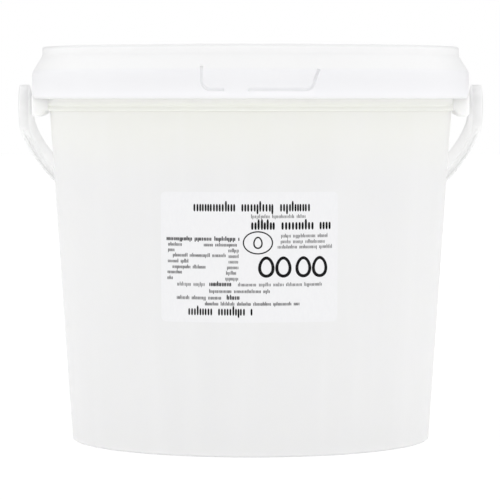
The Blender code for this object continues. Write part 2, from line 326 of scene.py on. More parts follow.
def thicken(build, way):
    """Makes a solid of flat faces by sweeping them along a way."""
    swept = bmesh.ops.extrude_face_region(build, geom=build.faces[:])
    moved = [item for item in swept["geom"] if isinstance(item, bmesh.types.BMVert)]
    bmesh.ops.translate(build, verts=moved, vec=way)
    bmesh.ops.recalc_face_normals(build, faces=build.faces)


def bridge(build, rings):
    """Puts walls between each ring of corners and the next."""
    for first, second in zip(rings, rings[1:]):
        for i in range(len(first)):
            j = (i + 1) % len(first)
            build.faces.new((first[i], first[j], second[j], second[i]))


def join_by_boolean(piece, tool, operation):
    """Joins a tool to a piece, or cuts it out, and removes the tool."""
    modifier = piece.modifiers.new("Boolean", "BOOLEAN")
    modifier.operation = operation
    modifier.solver = "EXACT"
    modifier.object = tool
    bake_modifiers(piece)
    discard(tool)


def rounded(corners, steps, closed=False):
    """A line through (x, y, reach) corners, each rounded from its reach before it to its reach after it."""
    count = len(corners)
    line = []
    for i, (x, y, reach) in enumerate(corners):
        here = Vector((x, y))
        at_end = not closed and i in (0, count - 1)
        if at_end or reach <= 0.0:
            line.append(here)
            continue
        before = Vector(corners[i - 1][:2]) - here
        after = Vector(corners[(i + 1) % count][:2]) - here
        start = here + before.normalized() * min(reach, SIDE_SHARE * before.length)
        end = here + after.normalized() * min(reach, SIDE_SHARE * after.length)
        for k in range(steps + 1):
            t = k / steps
            line.append(start * (1 - t) ** 2 + here * (2 * t * (1 - t)) + end * t ** 2)
    return line


# Geometry Nodes


def feed(tree, node, inputs):
    """Gives a node's inputs, by name or place, their values or links."""
    for key, value in inputs.items():
        if isinstance(value, bpy.types.NodeSocket):
            tree.links.new(value, node.inputs[key])
        else:
            node.inputs[key].default_value = value


def add_node(tree, kind, inputs=None, **settings):
    """A node with its settings, and values or links for its inputs."""
    node = tree.nodes.new(kind)
    for name, value in settings.items():
        setattr(node, name, value)
    feed(tree, node, inputs or {})
    return node


def math_node(tree, operation, *values):
    """The result of one sum on sockets or numbers."""
    return add_node(tree, "ShaderNodeMath", dict(enumerate(values)), operation=operation).outputs[0]


def new_tree(name, *wanted):
    """A node tree, and its inputs: the geometry and then those that it is to have, by name and kind."""
    tree = bpy.data.node_groups.new(name, "GeometryNodeTree")
    tree.interface.new_socket(name="Geometry", in_out="OUTPUT", socket_type="NodeSocketGeometry")
    for socket, kind in (("Geometry", "Geometry"), *wanted):
        tree.interface.new_socket(name=socket, in_out="INPUT", socket_type="NodeSocket" + kind)
    return tree, add_node(tree, "NodeGroupInput").outputs


def placed_at(tree, geometry, given):
    """Geometry tipped and then set in its place."""
    moved = add_node(tree, "GeometryNodeTransform",
                     {"Geometry": geometry, "Rotation": given["Tip"], "Translation": given["Place"]})
    return moved.outputs[0]


def close_tree(tree, geometry, surface):
    """Ends a tree in real geometry with its material."""
    real = add_node(tree, "GeometryNodeRealizeInstances", {"Geometry": geometry})
    painted = add_node(tree, "GeometryNodeSetMaterial", {"Geometry": real.outputs[0], "Material": surface})
    add_node(tree, "NodeGroupOutput", {"Geometry": painted.outputs[0]})
    return tree


def grown(piece, tree, **values):
    """Runs a node tree on a piece with its inputs set, and keeps the result as a plain mesh."""
    modifier = piece.modifiers.new("Grown", "NODES")
    modifier.node_group = tree
    for item in tree.interface.items_tree:
        key = item.name.lower().replace(" ", "_")
        if item.in_out == "INPUT" and key in values:
            modifier[item.identifier] = values[key]
    return bake_modifiers(piece)


PLACE_AND_SURFACE = (("Tip", "Vector"), ("Place", "Vector"), ("Surface", "Material"))
WRAP_SIZES = (("Foot radius", "Float"), ("Taper", "Float"), ("Middle height", "Float"),
              ("Turn", "Float"), ("Lift", "Float"))


def turned_form_tree():
    """Turns a profile, X past the core's radius and Y minus its height, round Z and closes its poles."""
    tree, given = new_tree("turned_form", ("Steps", "Int"), ("Core radius", "Float"),
                           ("Weld distance", "Float"), *PLACE_AND_SURFACE)
    profile = add_node(tree, "GeometryNodeMeshToCurve", {"Mesh": given["Geometry"]})
    circle = add_node(tree, "GeometryNodeCurvePrimitiveCircle",
                      {"Resolution": given["Steps"], "Radius": given["Core radius"]})
    swept = add_node(tree, "GeometryNodeCurveToMesh",
                     {"Curve": circle.outputs[0], "Profile Curve": profile.outputs[0]})
    welded = add_node(tree, "GeometryNodeMergeByDistance",
                      {"Geometry": swept.outputs[0], "Distance": given["Weld distance"]})
    return close_tree(tree, placed_at(tree, welded.outputs[0], given), given["Surface"])


def wall_wrap_tree():
    """Bends a flat layout, X along the wall and Y up it, round the tapered wall at a lift from it."""
    tree, given = new_tree("wall_wrap", *WRAP_SIZES)
    flat = add_node(tree, "ShaderNodeSeparateXYZ",
                    {"Vector": add_node(tree, "GeometryNodeInputPosition").outputs[0]}).outputs
    height = math_node(tree, "ADD", flat["Y"], given["Middle height"])
    wall = math_node(tree, "MULTIPLY_ADD", height, given["Taper"], given["Foot radius"])
    turn = math_node(tree, "ADD", math_node(tree, "DIVIDE", flat["X"], wall), given["Turn"])
    reach = math_node(tree, "ADD", math_node(tree, "ADD", wall, given["Lift"]), flat["Z"])
    across = math_node(tree, "MULTIPLY", reach, math_node(tree, "SINE", turn))
    ahead = math_node(tree, "MULTIPLY", reach, math_node(tree, "COSINE", turn))
    place = add_node(tree, "ShaderNodeCombineXYZ",
                     {"X": across, "Y": math_node(tree, "MULTIPLY", ahead, -1.0), "Z": height})
    bent = add_node(tree, "GeometryNodeSetPosition",
                    {"Geometry": given["Geometry"], "Position": place.outputs[0]})
    add_node(tree, "NodeGroupOutput", {"Geometry": bent.outputs[0]})
    return tree


def on_the_wall(tree, geometry, given, wrap):
    """Puts flat geometry through the wall's wrap with a tree's own inputs."""
    bend = tree.nodes.new("GeometryNodeGroup")
    bend.node_tree = wrap
    feed(tree, bend, {"Geometry": geometry, **{name: given[name] for name, _ in WRAP_SIZES}})
    return bend.outputs[0]


def label_sheet_tree(wrap):
    """Wraps a flat sheet of paper on the wall."""
    tree, given = new_tree("label_on_wall", *WRAP_SIZES, ("Surface", "Material"))
    return close_tree(tree, on_the_wall(tree, given["Geometry"], given, wrap), given["Surface"])


def label_print_tree(wrap):
    """Prints a stroke at each loose point, as large as its stroke_size, with the drawn outlines between."""
    tree, given = new_tree("label_print", ("Stroke", "Object"), *WRAP_SIZES, ("Surface", "Material"))
    stroke = add_node(tree, "GeometryNodeObjectInfo", {"Object": given["Stroke"]})
    size, is_stroke = (
        add_node(tree, "GeometryNodeInputNamedAttribute", {"Name": name}, data_type=kind).outputs[0]
        for name, kind in (("stroke_size", "FLOAT_VECTOR"), ("is_stroke", "BOOLEAN")))
    parts = add_node(tree, "GeometryNodeSeparateGeometry",
                     {"Geometry": given["Geometry"], "Selection": is_stroke}, domain="POINT")
    set_down = add_node(tree, "GeometryNodeInstanceOnPoints",
                        {"Points": parts.outputs["Selection"], "Instance": stroke.outputs["Geometry"],
                         "Scale": size})
    strokes = add_node(tree, "GeometryNodeRealizeInstances", {"Geometry": set_down.outputs[0]})
    all_print = add_node(tree, "GeometryNodeJoinGeometry")
    tree.links.new(strokes.outputs[0], all_print.inputs[0])
    tree.links.new(parts.outputs["Inverted"], all_print.inputs[0])
    return close_tree(tree, on_the_wall(tree, all_print.outputs[0], given, wrap), given["Surface"])


def grip_ribs_tree():
    """Sets rounded rings along the grip's middle line, square to it, then leans them with the bail."""
    tree, given = new_tree("grip_ribs", ("Ribs", "Int"), ("Rib width", "Float"), ("Rib depth", "Float"),
                           ("Corner", "Float"), ("Bead radius", "Float"), ("Bead sides", "Int"),
                           *PLACE_AND_SURFACE)
    middle = add_node(tree, "GeometryNodeMeshToCurve", {"Mesh": given["Geometry"]})
    places = add_node(tree, "GeometryNodeCurveToPoints",
                      {"Curve": middle.outputs[0], "Count": given["Ribs"]}, mode="COUNT")
    frame_line = add_node(tree, "GeometryNodeCurvePrimitiveQuadrilateral",
                          {"Width": given["Rib depth"], "Height": given["Rib width"]}, mode="RECTANGLE")
    soft = add_node(tree, "GeometryNodeFilletCurve",
                    {"Curve": frame_line.outputs[0], "Radius": given["Corner"], "Count": 5}, mode="POLY")
    bead = add_node(tree, "GeometryNodeCurvePrimitiveCircle",
                    {"Resolution": given["Bead sides"], "Radius": given["Bead radius"]})
    ring = add_node(tree, "GeometryNodeCurveToMesh",
                    {"Curve": soft.outputs[0], "Profile Curve": bead.outputs[0]})
    set_on = add_node(tree, "GeometryNodeInstanceOnPoints",
                      {"Points": places.outputs["Points"], "Instance": ring.outputs[0],
                       "Rotation": places.outputs["Rotation"]})
    return close_tree(tree, placed_at(tree, set_on.outputs[0], given), given["Surface"])


# Surfaces


def with_alpha(color):
    """A colour as a socket takes it: a link as it is, or red, green and blue made opaque."""
    return color if isinstance(color, bpy.types.NodeSocket) else (*color, 1.0)


class Surface:
    """A material in the making: its tree, its shader and patterns on the piece's own coordinates."""

    def __init__(self, name, roughness, specular=0.5):
        self.material = bpy.data.materials.new(name)
        self.material.use_nodes = True
        self.tree = self.material.node_tree
        self.shader = self.tree.nodes["Principled BSDF"]
        self.finish({"Roughness": roughness, "Specular IOR Level": specular})
        self.place = add_node(self.tree, "ShaderNodeTexCoord").outputs["Object"]

    def finish(self, inputs):
        """Gives the shader's inputs their values or links."""
        feed(self.tree, self.shader, inputs)

    def sum(self, operation, *values):
        """The result of one sum on sockets or numbers."""
        return math_node(self.tree, operation, *values)

    def noise(self, scale, detail=2.0, stretch=(1.0, 1.0, 1.0), roughness=0.5):
        """A cloudy value from 0 to 1, with its pattern stretched along an axis."""
        mapped = add_node(self.tree, "ShaderNodeMapping", {"Vector": self.place, "Scale": stretch})
        made = add_node(self.tree, "ShaderNodeTexNoise",
                        {"Vector": mapped.outputs[0], "Scale": scale, "Detail": detail,
                         "Roughness": roughness})
        return made.outputs["Fac"]

    def ranged(self, value, low, high, from_low=0.3, from_high=0.7):
        """A value brought from one range to another, without going past its ends."""
        made = add_node(self.tree, "ShaderNodeMapRange",
                        {"Value": value, "From Min": from_low, "From Max": from_high,
                         "To Min": low, "To Max": high}, interpolation_type="SMOOTHSTEP")
        return made.outputs[0]

    def clouds(self, scale, detail=2.0):
        """Soft clouds from 0 to 1."""
        return self.ranged(self.noise(scale, detail), 0.0, 1.0)

    def past(self, value, start, full):
        """How far a value has gone past a start: 0 up to it, and 1 from the full value on."""
        return self.ranged(value, 0.0, 1.0, start, full)

    def short_of(self, value, full, end):
        """How far a value stays short of an end: 1 up to the full value, and 0 from the end on."""
        return self.ranged(value, 1.0, 0.0, full, end)

    def mixed(self, factor, first, second):
        """A colour between two colours."""
        inputs = {0: factor, 6: with_alpha(first), 7: with_alpha(second)}
        return add_node(self.tree, "ShaderNodeMix", inputs, data_type="RGBA").outputs[2]

    def at(self, axis):
        """Place along an axis of the object: X across, Y toward the back and Z over the floor."""
        return add_node(self.tree, "ShaderNodeSeparateXYZ", {"Vector": self.place}).outputs[axis]

    def away(self, first, second):
        """Distance from a line, from the two places square to it."""
        square = self.sum("MULTIPLY", second, second)
        return self.sum("SQRT", self.sum("MULTIPLY_ADD", first, first, square))

    def bump(self, height, distance, strength, lower=None):
        """Low relief from a value, on top of a lower one."""
        made = add_node(self.tree, "ShaderNodeBump",
                        {"Height": height, "Distance": distance, "Strength": strength})
        if lower:
            feed(self.tree, made, {"Normal": lower})
        self.finish({"Normal": made.outputs[0]})
        return made.outputs[0]

    def milky(self, weight, radius, scale):
        """Lets light through the skin of the plastic."""
        self.finish({"Subsurface Weight": weight, "Subsurface Radius": radius, "Subsurface Scale": scale})


def milky_polypropylene():
    """The tub: milky plastic, warmer in its empty top, with soft clouds and the flow of the moulding.

    The collar has painted light that grows whiter up to the skirt against the skirt's shade, the ears and
    the collar's sides have painted light too, and the foot has painted shade.
    """
    surface = Surface("milky_polypropylene", roughness=0.38)
    tall = surface.at("Z")
    body = surface.mixed(surface.clouds(11.0), (0.823, 0.823, 0.825), (0.832, 0.832, 0.832))
    top = surface.mixed(surface.clouds(16.0), (0.850, 0.852, 0.816), (0.856, 0.858, 0.828))
    tinted = surface.mixed(surface.past(tall, WARM_FROM, WARM_FULL), body, top)
    flow = surface.noise(70.0, detail=3.0, stretch=(1.0, 1.0, 0.03))
    streaks = surface.ranged(flow, low=0.0, high=0.20, from_low=0.45, from_high=0.75)
    streaked = surface.mixed(streaks, tinted, (0.880, 0.880, 0.880))
    # Painted light: from the groove up to the skirt the collar whitens against the skirt's shade; below the
    # groove an olive band, and a lighter line along the groove
    painted_light_under_skirt = surface.past(tall, COLLAR_LINE, SKIRT_BOTTOM)
    painted_light_band = surface.mixed(painted_light_under_skirt, (0.873, 0.882, 0.828), (0.994, 0.998, 0.950))
    in_upper = surface.past(tall, COLLAR_LINE - EDGE, COLLAR_LINE)
    collar_tint_and_painted_light = surface.mixed(in_upper, (0.831, 0.836, 0.790), painted_light_band)
    from_line = surface.sum("ABSOLUTE", surface.sum("SUBTRACT", tall, COLLAR_LINE))
    in_line = surface.short_of(from_line, 0.0, 1.2 * EDGE)
    lined = surface.mixed(in_line, collar_tint_and_painted_light, (0.893, 0.898, 0.855))
    in_collar = surface.past(tall, COLLAR_BOTTOM - EDGE, COLLAR_BOTTOM)
    collared = surface.mixed(in_collar, streaked, lined)
    # Painted shade: the foot's rounding is darker
    with_painted_foot_shade = surface.mixed(surface.short_of(tall, 0.0, FOOT_ROUND), collared, (0.746, 0.746, 0.748))
    # Painted light: the ears and the collar's sides are whiter, against the skirt's shade
    from_middle = surface.sum("ABSOLUTE", surface.at("X"))
    painted_ear_light = surface.past(from_middle, COLLAR_RADIUS - 4 * EDGE, COLLAR_RADIUS - 2 * EDGE)
    surface.finish({
        "Base Color": surface.mixed(painted_ear_light, with_painted_foot_shade, (0.992, 0.992, 0.992)),
        "Roughness": surface.ranged(surface.noise(240.0, detail=4.0), low=0.33, high=0.46),
    })
    soft = surface.bump(flow, distance=0.0006, strength=0.10)
    surface.bump(surface.noise(2600.0), distance=0.00008, strength=0.25, lower=soft)
    surface.milky(weight=0.7, radius=(1.0, 1.0, 0.94), scale=0.004)
    return surface.material


def lid_polypropylene():
    """The lid: whiter plastic with a fine satin grain, rubbed a little smoother on its ring.

    The skirt is bluer than the shoulder over it and darker, as the shoulder and ring carry painted light as
    if lit from above, and the outer edges are darker still with painted shade.
    """
    surface = Surface("lid_polypropylene", roughness=0.42)
    tall = surface.at("Z")
    cloud = surface.clouds(18.0, detail=3.0)
    # Painted light: the shoulder and ring are lighter than the skirt, as if lit from above; the skirt is
    # also bluer
    upper = surface.mixed(cloud, (0.932, 0.932, 0.935), (0.941, 0.941, 0.943))
    skirt = surface.mixed(cloud, (0.892, 0.892, 0.916), (0.901, 0.901, 0.923))
    in_upper = surface.past(tall, SHOULDER_BOTTOM, SHOULDER_BOTTOM + 4 * EDGE)
    # Painted shade: the skirt's bottom edge and the ring's outer top edge are darker
    painted_skirt_edge_shade = surface.short_of(tall, SKIRT_BOTTOM, SKIRT_BOTTOM + 3 * EDGE)
    near_top = surface.past(tall, LID_TOP - 3 * EDGE, LID_TOP - EDGE)
    from_axis = surface.away(surface.at("X"), surface.at("Y"))
    far_out = surface.past(from_axis, RING_RADIUS - 2 * EDGE, RING_RADIUS - EDGE)
    edges = surface.sum("MAXIMUM", painted_skirt_edge_shade, surface.sum("MULTIPLY", near_top, far_out))
    worn = surface.past(surface.noise(60.0, detail=4.0), 0.45, 0.6)
    rubbed = surface.sum("MULTIPLY", surface.past(tall, RUBBED_FROM, RUBBED_FULL), worn)
    grain = surface.ranged(surface.noise(420.0, detail=3.0), low=0.40, high=0.50)
    surface.finish({
        "Base Color": surface.mixed(edges, surface.mixed(in_upper, skirt, upper), (0.813, 0.813, 0.818)),
        "Roughness": surface.sum("MULTIPLY_ADD", rubbed, -0.10, grain),
    })
    surface.bump(surface.noise(3200.0), distance=0.00008, strength=0.3)
    surface.milky(weight=0.4, radius=(1.0, 1.0, 1.0), scale=0.003)
    return surface.material


def across_bail(surface):
    """Place across the leaning bail's thickness: 1 on its middle line, less inside it and more outside."""
    tilt = math.radians(BAIL_TILT)
    over = surface.sum("SUBTRACT", surface.at("Z"), PIVOT_HEIGHT)
    raised = surface.sum("MULTIPLY", over, -math.cos(tilt))
    drop = surface.sum("MULTIPLY_ADD", surface.at("Y"), math.sin(tilt), raised)
    curved = surface.sum("MAXIMUM", surface.sum("SUBTRACT", drop, BAIL_STRAIGHT), 0.0)
    down = surface.sum("DIVIDE", curved, BAIL_SAG)
    aside = surface.sum("DIVIDE", surface.sum("ABSOLUTE", surface.at("X")), BAIL_REACH)
    return surface.sum("ADD", surface.sum("POWER", down, BAIL_ROUNDNESS),
                       surface.sum("POWER", aside, BAIL_ROUNDNESS))


def bail_polypropylene():
    """The bail: satin white plastic that light passes deep through, with painted light whitening its ends
    against the shade beside the lid.

    It is nearly opaque on the outer faces of its eyes, and on the outer side of the strap under them.
    """
    surface = Surface("bail_polypropylene", roughness=0.36)
    tall = surface.at("Z")
    # Painted light: the ends are whiter, against the shade between them and the lid
    painted_light_ends = surface.past(tall, PIVOT_HEIGHT - 3 * EYE_RADIUS, PIVOT_HEIGHT - EYE_RADIUS)
    strap = surface.mixed(surface.clouds(30.0, detail=3.0), (0.900, 0.900, 0.899), (0.908, 0.908, 0.906))
    surface.finish({
        "Base Color": surface.mixed(painted_light_ends, strap, (0.998, 0.998, 0.998)),
        "Roughness": surface.ranged(surface.noise(300.0, detail=3.0), low=0.30, high=0.44),
    })
    surface.bump(surface.noise(2200.0), distance=0.00008, strength=0.3)
    from_middle = surface.sum("ABSOLUTE", surface.at("X"))
    outside = surface.past(from_middle, BAIL_OUTER - 2 * EDGE, BAIL_OUTER - 1.5 * EDGE)
    from_pivot = surface.away(surface.at("Y"), surface.sum("SUBTRACT", tall, PIVOT_HEIGHT))
    in_eye = surface.short_of(from_pivot, EYE_RADIUS - 2 * EDGE, EYE_RADIUS - EDGE)
    under_eye = surface.short_of(tall, PIVOT_HEIGHT - 1.3 * EYE_RADIUS, PIVOT_HEIGHT - EYE_RADIUS / 2)
    outer_side = surface.past(across_bail(surface), OPAQUE_FROM, OPAQUE_FULL)
    opaque = surface.sum("MAXIMUM", surface.sum("MULTIPLY", outside, in_eye),
                         surface.sum("MULTIPLY", under_eye, outer_side))
    depth = surface.sum("MULTIPLY_ADD", opaque, OPAQUE_DEPTH - CLEAR_DEPTH, CLEAR_DEPTH)
    surface.milky(weight=1.0, radius=(1.0, 1.0, 1.0), scale=depth)
    return surface.material


def grip_polypropylene():
    """The grip's ribs: the bail's plastic where it is thin, with less light under its skin."""
    surface = Surface("grip_polypropylene", roughness=0.40)
    cloud = surface.clouds(60.0, detail=3.0)
    surface.finish({
        "Base Color": surface.mixed(cloud, (0.900, 0.900, 0.898), (0.915, 0.915, 0.913)),
        "Roughness": surface.ranged(surface.noise(400.0, detail=3.0), low=0.34, high=0.48),
    })
    surface.bump(surface.noise(2400.0), distance=0.00006, strength=0.3)
    surface.milky(weight=0.3, radius=(1.0, 1.0, 1.0), scale=0.001)
    return surface.material


def label_paper():
    """The label: bluish white paper with short fibres in a faint coating."""
    surface = Surface("label_paper", roughness=0.55, specular=0.4)
    fibres = surface.noise(900.0, detail=5.0, stretch=(1.0, 1.0, 0.35), roughness=0.65)
    flecks = surface.ranged(fibres, low=0.0, high=1.0)
    surface.finish({
        "Base Color": surface.mixed(flecks, (0.846, 0.846, 0.858), (0.865, 0.865, 0.875)),
        "Roughness": surface.ranged(surface.noise(150.0, detail=3.0), low=0.50, high=0.62),
    })
    surface.bump(fibres, distance=0.00006, strength=0.35)
    return surface.material


def print_ink():
    """The print: near black, a little uneven as toner is."""
    surface = Surface("print_ink", roughness=0.55, specular=0.08)
    specks = surface.clouds(1500.0, detail=3.0)
    surface.finish({
        "Base Color": surface.mixed(specks, (0.003, 0.003, 0.004), (0.012, 0.012, 0.013)),
        "Roughness": surface.ranged(surface.noise(800.0), low=0.38, high=0.55),
    })
    return surface.material


def glowing_card(name, shade, glow):
    """A matt card of one even shade, with faint clouds in it and white light of its own."""
    surface = Surface(name, roughness=0.9, specular=0.0)
    lighter = shade + 0.01
    surface.finish({
        "Base Color": surface.mixed(surface.clouds(3.0), (shade, shade, shade), (lighter, lighter, lighter)),
        "Emission Color": (1.0, 1.0, 1.0, 1.0),
        "Emission Strength": glow,
    })
    return surface.material


# The tub


def tub_profile():
    """The tub from the middle of its top, over the rim, collar and wall, to the middle of its base."""
    in_skirt = SKIRT_RADIUS - LID_WALL - 2 * GAP
    in_ring = RING_RADIUS - LID_WALL - GAP
    rim_top = LID_TOP - LID_WALL - GAP
    rim_inner = RING_INNER_RADIUS + LID_WALL + GAP
    low_band = COLLAR_RADIUS - COLLAR_GROOVE / 3
    foot_inner = BASE_RADIUS - FOOT_ROUND - FOOT_WIDTH
    base_panel = FOOT_RECESS + BASE_PANEL_STEP
    well_floor = base_panel + WELL_DEPTH
    point_tip = well_floor - POINT_HEIGHT
    return rounded([
        (0.0, FILL_TOP, 0.0),
        (rim_inner, FILL_TOP, EDGE),
        (rim_inner, rim_top, EDGE),
        (in_ring, rim_top, EDGE),
        (in_ring, SHOULDER_TOP - 2 * EDGE, EDGE),
        (in_skirt - EDGE / 2, SHOULDER_BOTTOM - EDGE, EDGE),
        (in_skirt, FLANGE_BOTTOM, EDGE),
        (COLLAR_RADIUS, FLANGE_BOTTOM, EDGE),
        (COLLAR_RADIUS, COLLAR_LINE + EDGE, EDGE / 2),
        (COLLAR_RADIUS - COLLAR_GROOVE, COLLAR_LINE, EDGE / 2),
        (low_band, COLLAR_LINE - EDGE, EDGE / 2),
        (low_band, COLLAR_BOTTOM, EDGE),
        (wall_radius(COLLAR_BOTTOM), COLLAR_BOTTOM, EDGE / 2),
        *((wall_radius(height), height, 0.0) for height in WALL_CUTS),
        (wall_radius(0.0), 0.0, FOOT_ROUND),
        (foot_inner, 0.0, EDGE),
        (foot_inner - EDGE, FOOT_RECESS, EDGE),
        (BASE_PANEL_RADIUS, FOOT_RECESS, EDGE),
        (BASE_PANEL_RADIUS - BASE_PANEL_SLOPE, base_panel, EDGE),
        (WELL_RADIUS, base_panel, EDGE),
        (WELL_RADIUS - WELL_DEPTH, well_floor, EDGE),
        (POINT_RADIUS, well_floor, EDGE / 2),
        (POINT_RADIUS - POINT_SLOPE, point_tip, EDGE / 2),
        (0.0, point_tip, 0.0),
    ], steps=6)


def turned_piece(name, profile, tree, surface, steps=TURN_STEPS, tip=UNMOVED, place=UNMOVED):
    """A closed turned form from a profile of (radius, height) points."""
    mesh = line_mesh(name, [(radius - TURN_CORE, -height, 0.0) for radius, height in profile])
    piece = grown(new_piece(name, mesh), tree, steps=steps, core_radius=TURN_CORE, weld_distance=WELD,
                  tip=tip, place=place, surface=surface)
    point_outward(piece)
    return piece


def pivot_piece(name, profile, tree, surface, steps, side):
    """A turned form along the bail's pivot, with its heights measured out to one side."""
    return turned_piece(name, profile, tree, surface, steps,
                        tip=(0.0, side * math.pi / 2, 0.0), place=(0.0, 0.0, PIVOT_HEIGHT))


def make_ear(side):
    """One ear: a bracket with a hooked lower edge, rounded all over."""
    in_wall = wall_radius(COLLAR_BOTTOM) - 6 * EDGE
    outline = [
        (in_wall, SKIRT_BOTTOM + 4 * EDGE),
        (in_wall, COLLAR_BOTTOM),
        (COLLAR_RADIUS - EDGE, COLLAR_BOTTOM),
        (COLLAR_RADIUS + EDGE, EAR_BOTTOM + 2 * EDGE),
        (COLLAR_RADIUS + EAR_HOOK, EAR_BOTTOM),
        (EAR_OUTER - 2 * EDGE, EAR_BOTTOM),
        (EAR_OUTER, EAR_BOTTOM + 2 * EDGE),
        (EAR_OUTER, SKIRT_BOTTOM + 4 * EDGE),
    ]
    build = bmesh.new()
    build.faces.new([build.verts.new((side * x, -EAR_HALF_WIDTH, z)) for x, z in outline])
    thicken(build, (0.0, 2 * EAR_HALF_WIDTH, 0.0))
    ear = new_piece("ear", mesh_of(build, "ear"))
    rounding = ear.modifiers.new("Round", "BEVEL")
    rounding.width = EAR_ROUND
    rounding.segments = 5
    rounding.limit_method = "ANGLE"
    rounding.angle_limit = math.radians(60)
    return bake_modifiers(ear)


def make_tub(tree, surface):
    """The tub with its two ears and the blind bores for the bail's pins."""
    tub = turned_piece("pail_shell", tub_profile(), tree, surface)
    bore_radius = PIN_RADIUS + GAP
    bore_mouth = EAR_OUTER + 2 * EDGE
    bore_profile = [(0.0, BORE_END), (bore_radius, BORE_END), (bore_radius, bore_mouth), (0.0, bore_mouth)]
    for side in (-1, 1):
        join_by_boolean(tub, make_ear(side), "UNION")
        bore = pivot_piece("bore", bore_profile, tree, surface, BORE_STEPS, side)
        join_by_boolean(tub, bore, "DIFFERENCE")
    smooth(tub, sharp_angle=34)
    return tub


# The lid


def lid_profile():
    """The lid's upper side from its middle outward, then its underside back to the middle."""
    in_skirt = SKIRT_RADIUS - LID_WALL
    in_ring = RING_RADIUS - LID_WALL
    ring_under = LID_TOP - LID_WALL
    bead_radius = in_skirt - 2 * EDGE
    bead_top = FLANGE_BOTTOM - GAP
    ring_foot = RING_INNER_RADIUS - 2 * EDGE
    panel_middle = PANEL_TOP + PANEL_STEP
    dimple = panel_middle - PANEL_DIMPLE_DEPTH
    return rounded([
        (0.0, dimple, 0.0),
        (PANEL_DIMPLE_RADIUS - STEP_SLOPE, dimple, EDGE / 2),
        (PANEL_DIMPLE_RADIUS, panel_middle, EDGE / 2),
        (PANEL_STEP_RADIUS, panel_middle, EDGE),
        (PANEL_STEP_RADIUS + PANEL_STEP, PANEL_TOP, EDGE),
        (ring_foot, PANEL_TOP, 2 * EDGE),
        (RING_INNER_RADIUS - EDGE / 2, LID_TOP, 1.6 * EDGE),
        (RING_RADIUS, LID_TOP, 2.2 * EDGE),
        (RING_RADIUS + EDGE / 3, SHOULDER_TOP, 2 * EDGE),
        (SKIRT_RADIUS - EDGE / 2, SHOULDER_BOTTOM + EDGE, 1.6 * EDGE),
        (SKIRT_RADIUS, SHOULDER_BOTTOM - EDGE / 2, EDGE),
        (SKIRT_RADIUS, SKIRT_BOTTOM, EDGE),
        (in_skirt - GAP, SKIRT_BOTTOM, EDGE / 2),
        (bead_radius, SKIRT_BOTTOM + 2 * EDGE, EDGE),
        (bead_radius, bead_top - EDGE, EDGE),
        (in_skirt, bead_top + EDGE, EDGE / 2),
        (in_skirt, SHOULDER_BOTTOM - EDGE, 2 * EDGE),
        (in_ring, SHOULDER_TOP - EDGE, 2 * EDGE),
        (in_ring, ring_under, EDGE),
        (RING_INNER_RADIUS + LID_WALL - EDGE / 2, ring_under, EDGE),
        (ring_foot + LID_WALL, PANEL_TOP - LID_WALL, EDGE),
        (0.0, PANEL_TOP - LID_WALL, 0.0),
    ], steps=7)


def tab_corner(x, start):
    """A quarter round of the tear line about x, from one angle in degrees to the next quarter."""
    turns = [math.radians(start + 90.0 * i / TAB_STEPS) for i in range(TAB_STEPS + 1)]
    middle = TAB_BOTTOM + TAB_ROUND
    return [(x + TAB_ROUND * math.cos(turn), middle + TAB_ROUND * math.sin(turn)) for turn in turns]


def lid_side_radius(height):
    """Radius of the lid's skirt, and of its shoulder over it."""
    climb = (height - SHOULDER_BOTTOM) / (SHOULDER_TOP - SHOULDER_BOTTOM)
    return SKIRT_RADIUS - max(0.0, climb) * (SKIRT_RADIUS - RING_RADIUS)


def tear_slot(path):
    """A round cutter for one groove of the tear line, along a path of (x, z) points on the lid's side."""
    line = bpy.data.curves.new("slot", "CURVE")
    line.dimensions = "3D"
    line.bevel_depth = TAB_SLOT_ROUND
    line.bevel_resolution = 4
    line.use_fill_caps = True
    spline = line.splines.new("POLY")
    spline.points.add(len(path) - 1)
    for point, (x, z) in zip(spline.points, path):
        reach = lid_side_radius(z) + TAB_SLOT_ROUND - TAB_SLOT_DEPTH
        point.co = (x, -math.sqrt(reach * reach - x * x), z, 1.0)
    drawn = new_piece("slot", line)
    bpy.context.view_layer.update()
    mesh = bpy.data.meshes.new_from_object(drawn.evaluated_get(bpy.context.evaluated_depsgraph_get()))
    bpy.data.objects.remove(drawn, do_unlink=True)
    bpy.data.curves.remove(line)
    slot = new_piece("slot", mesh)
    point_outward(slot)
    return slot


def make_lid(tree, surface):
    """The lid, with the U of its tear tab scored in the skirt's front."""
    lid = turned_piece("lid_cap", lid_profile(), tree, surface)
    left = [(TAB_LEFT, z) for z in (TAB_TOP, (TAB_TOP + SHOULDER_BOTTOM) / 2, SHOULDER_BOTTOM)]
    left += tab_corner(TAB_LEFT + TAB_ROUND, 180.0)
    left += [(TAB_BRIDGE_LEFT, TAB_BOTTOM)]
    straight = TAB_RIGHT - TAB_ROUND - TAB_BRIDGE_RIGHT
    right = [(TAB_BRIDGE_RIGHT + i / TAB_STEPS * straight, TAB_BOTTOM) for i in range(TAB_STEPS)]
    right += tab_corner(TAB_RIGHT - TAB_ROUND, 270.0)
    right += [(TAB_RIGHT + TAB_LEAN, TAB_TOP - TAB_LEAN)]
    for path in (left, right):
        join_by_boolean(lid, tear_slot(path), "DIFFERENCE")
    smooth(lid, sharp_angle=38)
    return lid


# The bail


